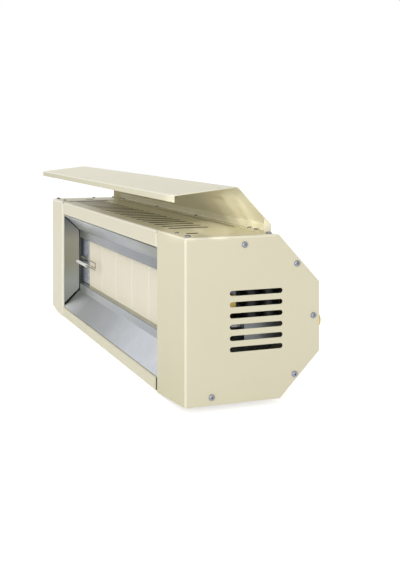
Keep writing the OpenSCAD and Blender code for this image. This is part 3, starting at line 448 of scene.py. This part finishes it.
def shade_housing():
    """Paint of the housing's sheets, each with its own painted fold highlights, painted shade on
    its front or painted shade in its gaps.
    """
    low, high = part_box("right_end_cover")
    fronts = {"right_end_cover": ("Z", low.z, high.z, COVER_FRONT_SHADE)}
    for node, fold in FOLD_HIGHLIGHTS.items():
        repaint(node, painted(node + "_paint", node, fold, fronts.get(node, ())))
    low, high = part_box("hood")
    repaint("hood", painted("hood_paint", front=("X", low.x, high.x, HOOD_FRONT_SHADE)))
    floor_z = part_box("bottom_panel")[0].z
    repaint("bottom_panel", gap_shaded("bottom_panel_paint", "Z", floor_z + GAP_SHADE_H))
    for node in ("left_bulkhead", "right_bulkhead"):
        repaint(node, gap_shaded(node + "_paint", "Y", GAP_SHADE_Y))


shade_mouth()
shade_housing()


def link_piece(name, bm, material, slot, *nodes):
    """A finished mesh as a piece that rides on the body, in place of CAD nodes if any are given."""
    bmesh.ops.recalc_face_normals(bm, faces=bm.faces)
    mesh = bpy.data.meshes.new(name)
    bm.to_mesh(mesh)
    bm.free()
    mesh.materials.append(material)
    piece = bpy.data.objects.new(name, mesh)
    bpy.context.scene.collection.objects.link(piece)
    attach(piece, BODY)
    if nodes:
        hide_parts(*nodes)
    return piece


def ring(bm, radius, z, count):
    return [bm.verts.new((radius * math.cos(i * math.tau / count),
                          radius * math.sin(i * math.tau / count), z)) for i in range(count)]


def skin(bm, lower, upper, smooth=True):
    """Faces between two closed rows of as many points."""
    for i in range(len(lower)):
        j = (i + 1) % len(lower)
        bm.faces.new((lower[i], lower[j], upper[j], upper[i])).smooth = smooth


def sweep(bm, rows):
    """Faces between closed rows of points that follow one another, and over both ends."""
    for lower, upper in zip(rows, rows[1:]):
        skin(bm, lower, upper)
    bm.faces.new(rows[0])
    bm.faces.new(rows[-1][::-1])


def edges_of(bm, loop):
    return [bm.edges.get((a, b)) or bm.edges.new((a, b)) for a, b in zip(loop, loop[1:] + loop[:1])]


def facing_out(at, normal):
    """Matrix that stands a shape made along Z on a surface."""
    return Matrix.Translation(at) @ normal.to_track_quat("Z", "Y").to_matrix().to_4x4()


def solids_of(node):
    """The separate solids of a CAD node, each as a list of its points, in order of their places."""
    bm = bmesh.new()
    bm.from_mesh(NODES[node].data)
    bmesh.ops.remove_doubles(bm, verts=bm.verts, dist=0.001 * MM)
    left, found = set(bm.verts), []
    for start in bm.verts:
        if start not in left:
            continue
        left.remove(start)
        reached, solid = [start], []
        while reached:
            vert = reached.pop()
            solid.append(vert.co.copy())
            for link in vert.link_edges:
                other = link.other_vert(vert)
                if other in left:
                    left.remove(other)
                    reached.append(other)
        found.append(solid)
    bm.free()
    return sorted(found, key=lambda s: [round(c, 4) for c in sum(s, Vector()) / len(s)])


def screw_of(points):
    """Matrix from the head's underside outwards, head radius, head height, shank radius, length."""
    low = Vector([min(p[i] for p in points) for i in range(3)])
    high = Vector([max(p[i] for p in points) for i in range(3)])
    size, mid = high - low, (low + high) / 2
    axis = min(range(3), key=lambda i: abs(size[(i + 1) % 3] - size[(i + 2) % 3]))
    outward = Vector([float(i == axis) for i in range(3)])

    def radius(p):
        off = p - mid
        off[axis] = 0.0
        return off.length

    r = max(radius(p) for p in points)
    rim = [p[axis] for p in points if radius(p) > 0.97 * r]
    if sum(rim) / len(rim) < mid[axis]:
        outward = -outward
    sign = outward[axis]
    base = min(rim, key=lambda v: v * sign)
    top = max((p[axis] for p in points), key=lambda v: v * sign)
    end = min((p[axis] for p in points), key=lambda v: v * sign)
    tip = [radius(p) for p in points if abs(p[axis] - end) < 0.01 * MM]
    origin = mid.copy()
    origin[axis] = base
    return facing_out(origin, outward), r, abs(top - base), max(tip), abs(base - end)


SCREW_SIDES = 32
# Pan head's outline, as parts of its radius and height, and how far its crown drops at the rim
PAN_HEAD = ((1.0, 0.0), (1.0, 0.30), (0.985, 0.42), (0.93, 0.58), (0.84, 0.72), (0.72, 0.84),
            (0.60, 0.91))
CROWN_DROP = 0.25
# Cross recess: half width and reach of its arms, as parts of the radius, then how much narrower
# its floor is, and the floor's height as a part of the head's
ARM_HALF_W = 0.10
ARM_REACH = 0.46
FLOOR_NARROWS = 0.62
FLOOR_AT = 0.42
# Point of the shank: height and end radius as parts of the shank's radius
POINT_H = 0.25
POINT_R = 0.6
# Turn of the first cross and of each next one, in degrees
FIRST_TURN = 12.0
NEXT_TURN = 37.0


def screw_mesh(bm, r, h, shank, length):
    """Pan head with a cross recess, on a plain shank."""
    rings = [ring(bm, r * out, h * up, SCREW_SIDES) for out, up in PAN_HEAD]
    for lower, upper in zip(rings, rings[1:]):
        skin(bm, lower, upper)
    neck = ring(bm, shank, 0.0, SCREW_SIDES)
    skin(bm, neck, rings[0], False)
    tip = ring(bm, shank, -length + POINT_H * shank, SCREW_SIDES)
    skin(bm, tip, neck)
    point = ring(bm, POINT_R * shank, -length, SCREW_SIDES)
    skin(bm, point, tip, False)
    bm.faces.new(point)
    a, b = ARM_HALF_W * r, ARM_REACH * r
    cross = [(a, b), (a, a), (b, a), (b, -a), (a, -a), (a, -b),
             (-a, -b), (-a, -a), (-b, -a), (-b, a), (-a, a), (-a, b)]
    crown = [bm.verts.new((x, y, h * (1.0 - CROWN_DROP * (x * x + y * y) / (r * r))))
             for x, y in cross]
    floor = [bm.verts.new((FLOOR_NARROWS * x, FLOOR_NARROWS * y, FLOOR_AT * h)) for x, y in cross]
    rim = edges_of(bm, rings[-1]) + edges_of(bm, crown)
    bmesh.ops.triangle_fill(bm, edges=rim, use_beauty=True)
    skin(bm, floor, crown, False)
    bmesh.ops.triangle_fill(bm, edges=edges_of(bm, floor), use_beauty=True)


def add_screw(bm, matrix, r, h, shank, length):
    one = bmesh.new()
    screw_mesh(one, r, h, shank, length)
    bmesh.ops.transform(one, matrix=matrix, verts=one.verts)
    mesh = bpy.data.meshes.new("one")
    one.to_mesh(mesh)
    one.free()
    bm.from_mesh(mesh)
    bpy.data.meshes.remove(mesh)


def make_screws():
    """The CAD's screws with rounded heads and cross recesses, each turned differently."""
    for node in ("side_screws", "top_screws", "hood_screws", "back_screws"):
        bm = bmesh.new()
        for i, points in enumerate(solids_of(node)):
            matrix, *sizes = screw_of(points)
            turn = Matrix.Rotation(math.radians(NEXT_TURN * i + FIRST_TURN), 4, "Z")
            add_screw(bm, matrix @ turn, *sizes)
        link_piece(node + "_cross_head", bm, MATERIALS["screw_zinc"], "screw_zinc", node)


make_screws()

# Head radius, head height, shank radius and length, then the holes' places in the bracket
BRACKET_SCREW = (4.0 * MM, 1.8 * MM, 2.0 * MM, 6.0 * MM)
BRACKET_HOLE_IN = 14.0 * MM
BRACKET_HOLES_UP = (-29.0 * MM, 36.0 * MM)


def make_bracket_screws():
    """Two screws that hold each burner bracket to the plenum, in the bracket's own holes."""
    for side in ("left", "right"):
        low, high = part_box(side + "_burner_bracket")
        x = high.x - BRACKET_HOLE_IN if side == "left" else low.x + BRACKET_HOLE_IN
        bm = bmesh.new()
        for up in BRACKET_HOLES_UP:
            at = Vector((x, low.y, (low.z + high.z) / 2 + up))
            add_screw(bm, facing_out(at, Vector((0.0, -1.0, 0.0))), *BRACKET_SCREW)
        link_piece(side + "_bracket_screws", bm, MATERIALS["screw_zinc"], "screw_zinc")


make_bracket_screws()

STUD_FRONT = 12.0 * MM
STUD_REAR = 85.0 * MM
STUD_INSET = 16.0 * MM
# The two middle studs, as parts of the hood's half length
STUDS_MIDDLE = (-0.2, 0.45)
STUD_SIDES = 20
# Radius and height of each ring of a stud's head
STUD_HEAD = ((1.9 * MM, -0.4 * MM), (1.9 * MM, 0.05 * MM), (1.7 * MM, 0.15 * MM),
             (0.9 * MM, 0.2 * MM))


def make_hood_studs():
    """Flat heads of the studs pressed into the hood's top, at its corners and along its front."""
    low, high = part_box("hood")
    ends = (low.x + STUD_INSET, high.x - STUD_INSET)
    middle = tuple(part * high.x for part in STUDS_MIDDLE)
    spots = [(x, low.y + STUD_FRONT) for x in ends[:1] + middle + ends[1:]]
    spots += [(x, high.y - STUD_REAR) for x in ends]
    tree = BVHTree.FromPolygons([v.co for v in NODES["hood"].data.vertices],
                                [p.vertices for p in NODES["hood"].data.polygons])
    bm = bmesh.new()
    for x, y in spots:
        at, normal, _, _ = tree.ray_cast(Vector((x, y, 1.0)), Vector((0.0, 0.0, -1.0)))
        rings = [ring(bm, r, z, STUD_SIDES) for r, z in STUD_HEAD]
        sweep(bm, rings)
        bmesh.ops.transform(bm, matrix=facing_out(at, normal), verts=[v for r in rings for v in r])
    link_piece("hood_studs", bm, MATERIALS["stud_paint"], "cream_paint")


make_hood_studs()

TUBE_R = 10.3 * MM
THREAD_PITCH = 1.5 * MM
THREAD_DEPTH = 0.7 * MM
# From the inlet's outer end to the thread's start and end
THREAD_START = 15.5 * MM
THREAD_END = 2.5 * MM
THREAD_SIDES = 40
# Section of the ridge: places along it as parts of the pitch, and heights as parts of its depth
THREAD_SECTION = ((-0.42, -0.3), (-0.08, 1.0), (0.08, 1.0), (0.42, -0.3))


def make_inlet_thread():
    """Thread on the gas inlet's outer tube: a ridge that climbs one pitch per turn."""
    low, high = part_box("gas_inlet")
    mid = (low + high) / 2
    turns = math.floor((THREAD_START - THREAD_END) / THREAD_PITCH)
    bm = bmesh.new()
    rows = []
    for i in range(turns * THREAD_SIDES + 1):
        turn = i * math.tau / THREAD_SIDES
        y = high.y - THREAD_START + THREAD_PITCH * (0.5 + i / THREAD_SIDES)
        row = []
        for along, up in THREAD_SECTION:
            r = TUBE_R + up * THREAD_DEPTH
            row.append(bm.verts.new((mid.x + r * math.cos(turn), y + along * THREAD_PITCH,
                                     mid.z + r * math.sin(turn))))
        rows.append(row)
    sweep(bm, rows)
    link_piece("gas_inlet_thread", bm, MATERIALS["brass"], "brass")


make_inlet_thread()

SPRING_TURNS = 5
SPRING_WIRE = 0.4 * MM
# Rows of points in a turn, and points round the wire
SPRING_STEPS = 20
SPRING_SIDES = 10


def make_springs():
    """Coiled wire of the valve's return springs, which the plungers press together as they lift;
    each is built at rest, with a mesh of its own.
    """
    for i in (1, 2):
        node = f"return_spring_{i}"
        low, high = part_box(node)
        mid = (low + high) / 2
        height = high.z - low.z
        coil_r = (high.x - low.x) / 2 - SPRING_WIRE
        rise = (height - 2 * SPRING_WIRE) / (SPRING_TURNS * SPRING_STEPS)
        bm = bmesh.new()
        rows = []
        for k in range(SPRING_TURNS * SPRING_STEPS + 1):
            turn = k * math.tau / SPRING_STEPS
            z = low.z + SPRING_WIRE + rise * k
            row = []
            for j in range(SPRING_SIDES):
                around = j * math.tau / SPRING_SIDES
                r = coil_r + SPRING_WIRE * math.cos(around)
                row.append(bm.verts.new((mid.x + r * math.cos(turn), mid.y + r * math.sin(turn),
                                         z + SPRING_WIRE * math.sin(around))))
            rows.append(row)
        sweep(bm, rows)
        spring = link_piece(f"coil_spring_{i}", bm, MATERIALS["spring_steel"], "spring_steel", node)
        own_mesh(spring)


make_springs()

PLAQUES = 5
PLAQUE_RIM = 3.0 * MM
PLAQUE_STEP = 0.4 * MM
PLAQUE_BEVEL = 0.5 * MM
HOLE_PITCH = 3.5 * MM
HOLE_R = 1.0 * MM
# Two for each corner of the square cell round a hole
HOLE_SIDES = 8


def rectangle(bm, low, high, y, columns, rows):
    """Points round a rectangle at depth y, with each side divided."""
    xs = [low.x + (high.x - low.x) * i / columns for i in range(columns + 1)]
    zs = [low.z + (high.z - low.z) * j / rows for j in range(rows + 1)]
    path = ([(x, zs[0]) for x in xs[:-1]] + [(xs[-1], z) for z in zs[:-1]]
            + [(x, zs[-1]) for x in reversed(xs[1:])] + [(xs[0], z) for z in reversed(zs[1:])])
    return [bm.verts.new((x, y, z)) for x, z in path]


def hole_at(bm, x, y, z):
    turns = [(k + 0.5) * math.tau / HOLE_SIDES for k in range(HOLE_SIDES)]
    return [bm.verts.new((x + HOLE_R * math.cos(turn), y, z + HOLE_R * math.sin(turn)))
            for turn in turns]


def perforated_field(bm, low, high, y, columns, rows):
    """A field of square cells with a hole in each. Returns its edge and its holes."""
    dx, dz = (high.x - low.x) / columns, (high.z - low.z) / rows
    grid = [[bm.verts.new((low.x + i * dx, y, low.z + j * dz)) for j in range(rows + 1)]
            for i in range(columns + 1)]
    holes = []
    for i in range(columns):
        for j in range(rows):
            hole = hole_at(bm, low.x + (i + 0.5) * dx, y, low.z + (j + 0.5) * dz)
            corners = [grid[i + 1][j + 1], grid[i][j + 1], grid[i][j], grid[i + 1][j]]
            for k, corner in enumerate(corners):
                bm.faces.new((corner, hole[2 * k + 1], hole[2 * k]))
                following = corners[(k + 1) % 4]
                bm.faces.new((corner, following, hole[(2 * k + 2) % HOLE_SIDES], hole[2 * k + 1]))
            holes.append(hole)
    edge = ([grid[i][0] for i in range(columns)] + [grid[-1][j] for j in range(rows)]
            + [grid[i][-1] for i in range(columns, 0, -1)]
            + [grid[0][j] for j in range(rows, 0, -1)])
    return edge, holes


def border(bm, outer, inner, columns, rows):
    """Flat frame between an outer rectangle of four corners and a divided inner one."""
    start = 0
    for side, count in enumerate((columns, rows, columns, rows)):
        part = [inner[(start + k) % len(inner)] for k in range(count + 1)]
        bm.faces.new([outer[side], outer[(side + 1) % 4]] + part[::-1])
        start += count


def make_plaques():
    """The ceramic plaques with their holes, a raised rim round them and bevelled front edges."""
    rim = Vector((PLAQUE_RIM, 0.0, PLAQUE_RIM))
    bevel = Vector((PLAQUE_BEVEL, 0.0, PLAQUE_BEVEL))
    for i in range(1, PLAQUES + 1):
        node = f"plaque_{i}"
        low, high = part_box(node)
        field_low, field_high = low + rim, high - rim
        columns = round((field_high.x - field_low.x) / HOLE_PITCH)
        rows = round((field_high.z - field_low.z) / HOLE_PITCH)
        front_y = low.y + PLAQUE_STEP
        bm = bmesh.new()
        front, holes = perforated_field(bm, field_low, field_high, front_y, columns, rows)
        back, ends = perforated_field(bm, field_low, field_high, high.y, columns, rows)
        for near, far in zip(holes, ends):
            skin(bm, near, far)
        lip = rectangle(bm, field_low, field_high, low.y, columns, rows)
        skin(bm, lip, front, False)
        face = rectangle(bm, low + bevel, high - bevel, low.y, 1, 1)
        edge = rectangle(bm, low, high, low.y + PLAQUE_BEVEL, 1, 1)
        rear = rectangle(bm, low, high, high.y, 1, 1)
        border(bm, face, lip, columns, rows)
        skin(bm, face, edge, False)
        skin(bm, edge, rear, False)
        border(bm, rear, back, columns, rows)
        link_piece(f"perforated_plaque_{i}", bm, MATERIALS["plaque_ceramic"], "plaque_ceramic",
                   node)


make_plaques()

FLOOR_SIZE = 12.0
FLOOR_GAP = 0.2 * MM
FLOOR_GREY = (0.8, 0.8, 0.8, 1.0)
FLOOR_GLOW = 0.62


def make_floor():
    """Pale floor that glows to the camera and in reflections, and keeps the heater's shadow."""
    mesh = bpy.data.meshes.new("floor")
    h = FLOOR_SIZE / 2
    mesh.from_pydata([(-h, -h, 0), (h, -h, 0), (h, h, 0), (-h, h, 0)], [], [(0, 1, 2, 3)])
    floor = bpy.data.objects.new("floor", mesh)
    floor.location.z = cad_box[0].z - FLOOR_GAP
    bpy.context.scene.collection.objects.link(floor)
    m = Nodes("floor")
    m.set(Roughness=1.0, Base_Color=FLOOR_GREY, Specular_IOR_Level=0.0)
    path = m.add("ShaderNodeLightPath")
    seen = m.math("MAXIMUM", path.outputs["Is Camera Ray"], path.outputs["Is Glossy Ray"])
    glow = m.add("ShaderNodeEmission", Color=WHITE)
    m.join(m.grey(seen, 0.0, FLOOR_GLOW), glow.inputs["Strength"])
    both = m.add("ShaderNodeAddShader")
    m.join(m.shader.outputs["BSDF"], both.inputs[0])
    m.join(glow.outputs["Emission"], both.inputs[1])
    m.join(both.outputs["Shader"], m.tree.nodes["Material Output"].inputs["Surface"])
    floor.data.materials.append(m.material)


def make_world(strength):
    """White seen by the camera and in reflections, and an even light of the given strength."""
    world = bpy.data.worlds.new("studio")
    bpy.context.scene.world = world
    world.use_nodes = True
    tree = world.node_tree
    ambient = tree.nodes["Background"]
    ambient.inputs["Color"].default_value = WHITE
    ambient.inputs["Strength"].default_value = strength
    white = tree.nodes.new("ShaderNodeBackground")
    white.inputs["Color"].default_value = WHITE
    white.inputs["Strength"].default_value = 1.0
    path = tree.nodes.new("ShaderNodeLightPath")
    seen = path.outputs["Is Camera Ray"]
    for ray in ("Is Glossy Ray", "Is Transmission Ray"):
        more = tree.nodes.new("ShaderNodeMath")
        more.operation = "MAXIMUM"
        tree.links.new(seen, more.inputs[0])
        tree.links.new(path.outputs[ray], more.inputs[1])
        seen = more.outputs[0]
    mix = tree.nodes.new("ShaderNodeMixShader")
    tree.links.new(seen, mix.inputs["Fac"])
    tree.links.new(ambient.outputs["Background"], mix.inputs[1])
    tree.links.new(white.outputs["Background"], mix.inputs[2])
    tree.links.new(mix.outputs["Shader"], tree.nodes["World Output"].inputs["Surface"])


# How much of a spot's disc fades out, and the radius of its source
SPOT_BLEND = 0.7
SPOT_SOFT = 4.0 * MM


def aim(name, data, at, target):
    """Put a light in the scene, looking at its target."""
    light = bpy.data.objects.new(name, data)
    light.location = at
    light.rotation_euler = (Vector(target) - Vector(at)).to_track_quat("-Z", "Y").to_euler()
    bpy.context.scene.collection.objects.link(light)


def lamp(name, at, target, size, power):
    data = bpy.data.lights.new(name, "AREA")
    data.shape = "RECTANGLE"
    data.size, data.size_y = size
    data.energy = power
    aim(name, data, at, target)


def spot(name, way, target, radius, power):
    """Narrow lamp some way off its target, whose light is a disc of the given radius there."""
    at = Vector(target) + way
    data = bpy.data.lights.new(name, "SPOT")
    data.energy = power
    data.spot_size = 2.0 * math.atan(radius / (at - Vector(target)).length)
    data.spot_blend = SPOT_BLEND
    data.shadow_soft_size = SPOT_SOFT
    aim(name, data, at, target)


make_floor()
make_world(0.60)

MIDDLE = (0.0, 0.0, 0.12)
CORNER = (0.41, -0.10, 0.15)
lamp("front_left", (-0.8, -1.6, 1.0), MIDDLE, (0.8, 0.8), 5.5)
lamp("key", (1.73, -1.58, 0.31), CORNER, (0.5, 0.5), 10.5)
lamp("right_front", (2.1, -0.9, 0.9), CORNER, (0.6, 0.6), 2.0)
lamp("right_side", (2.1, -0.1, 0.80), CORNER, (0.5, 0.5), 4.0)
lamp("top_box", (-0.4, 0.45, 1.7), MIDDLE, (0.6, 0.6), 3.5)

# Spots through the hood's open right end, on its back and on the casing's top
FROM_FRONT = 2.0 * Vector((0.70, -0.71, 0.05))
FROM_END = 2.0 * Vector((0.93, -0.28, 0.24))
spot("hood_back_0", FROM_FRONT, (0.29, -0.005, 0.258), 0.034, 50.0)
spot("hood_back_1", FROM_FRONT, (0.335, -0.005, 0.258), 0.034, 90.0)
spot("hood_back_2", FROM_FRONT, (0.38, -0.005, 0.258), 0.034, 90.0)
spot("casing_top_0", FROM_END, (0.32, -0.075, 0.236), 0.032, 140.0)
spot("casing_top_1", FROM_END, (0.32, -0.03, 0.236), 0.032, 180.0)
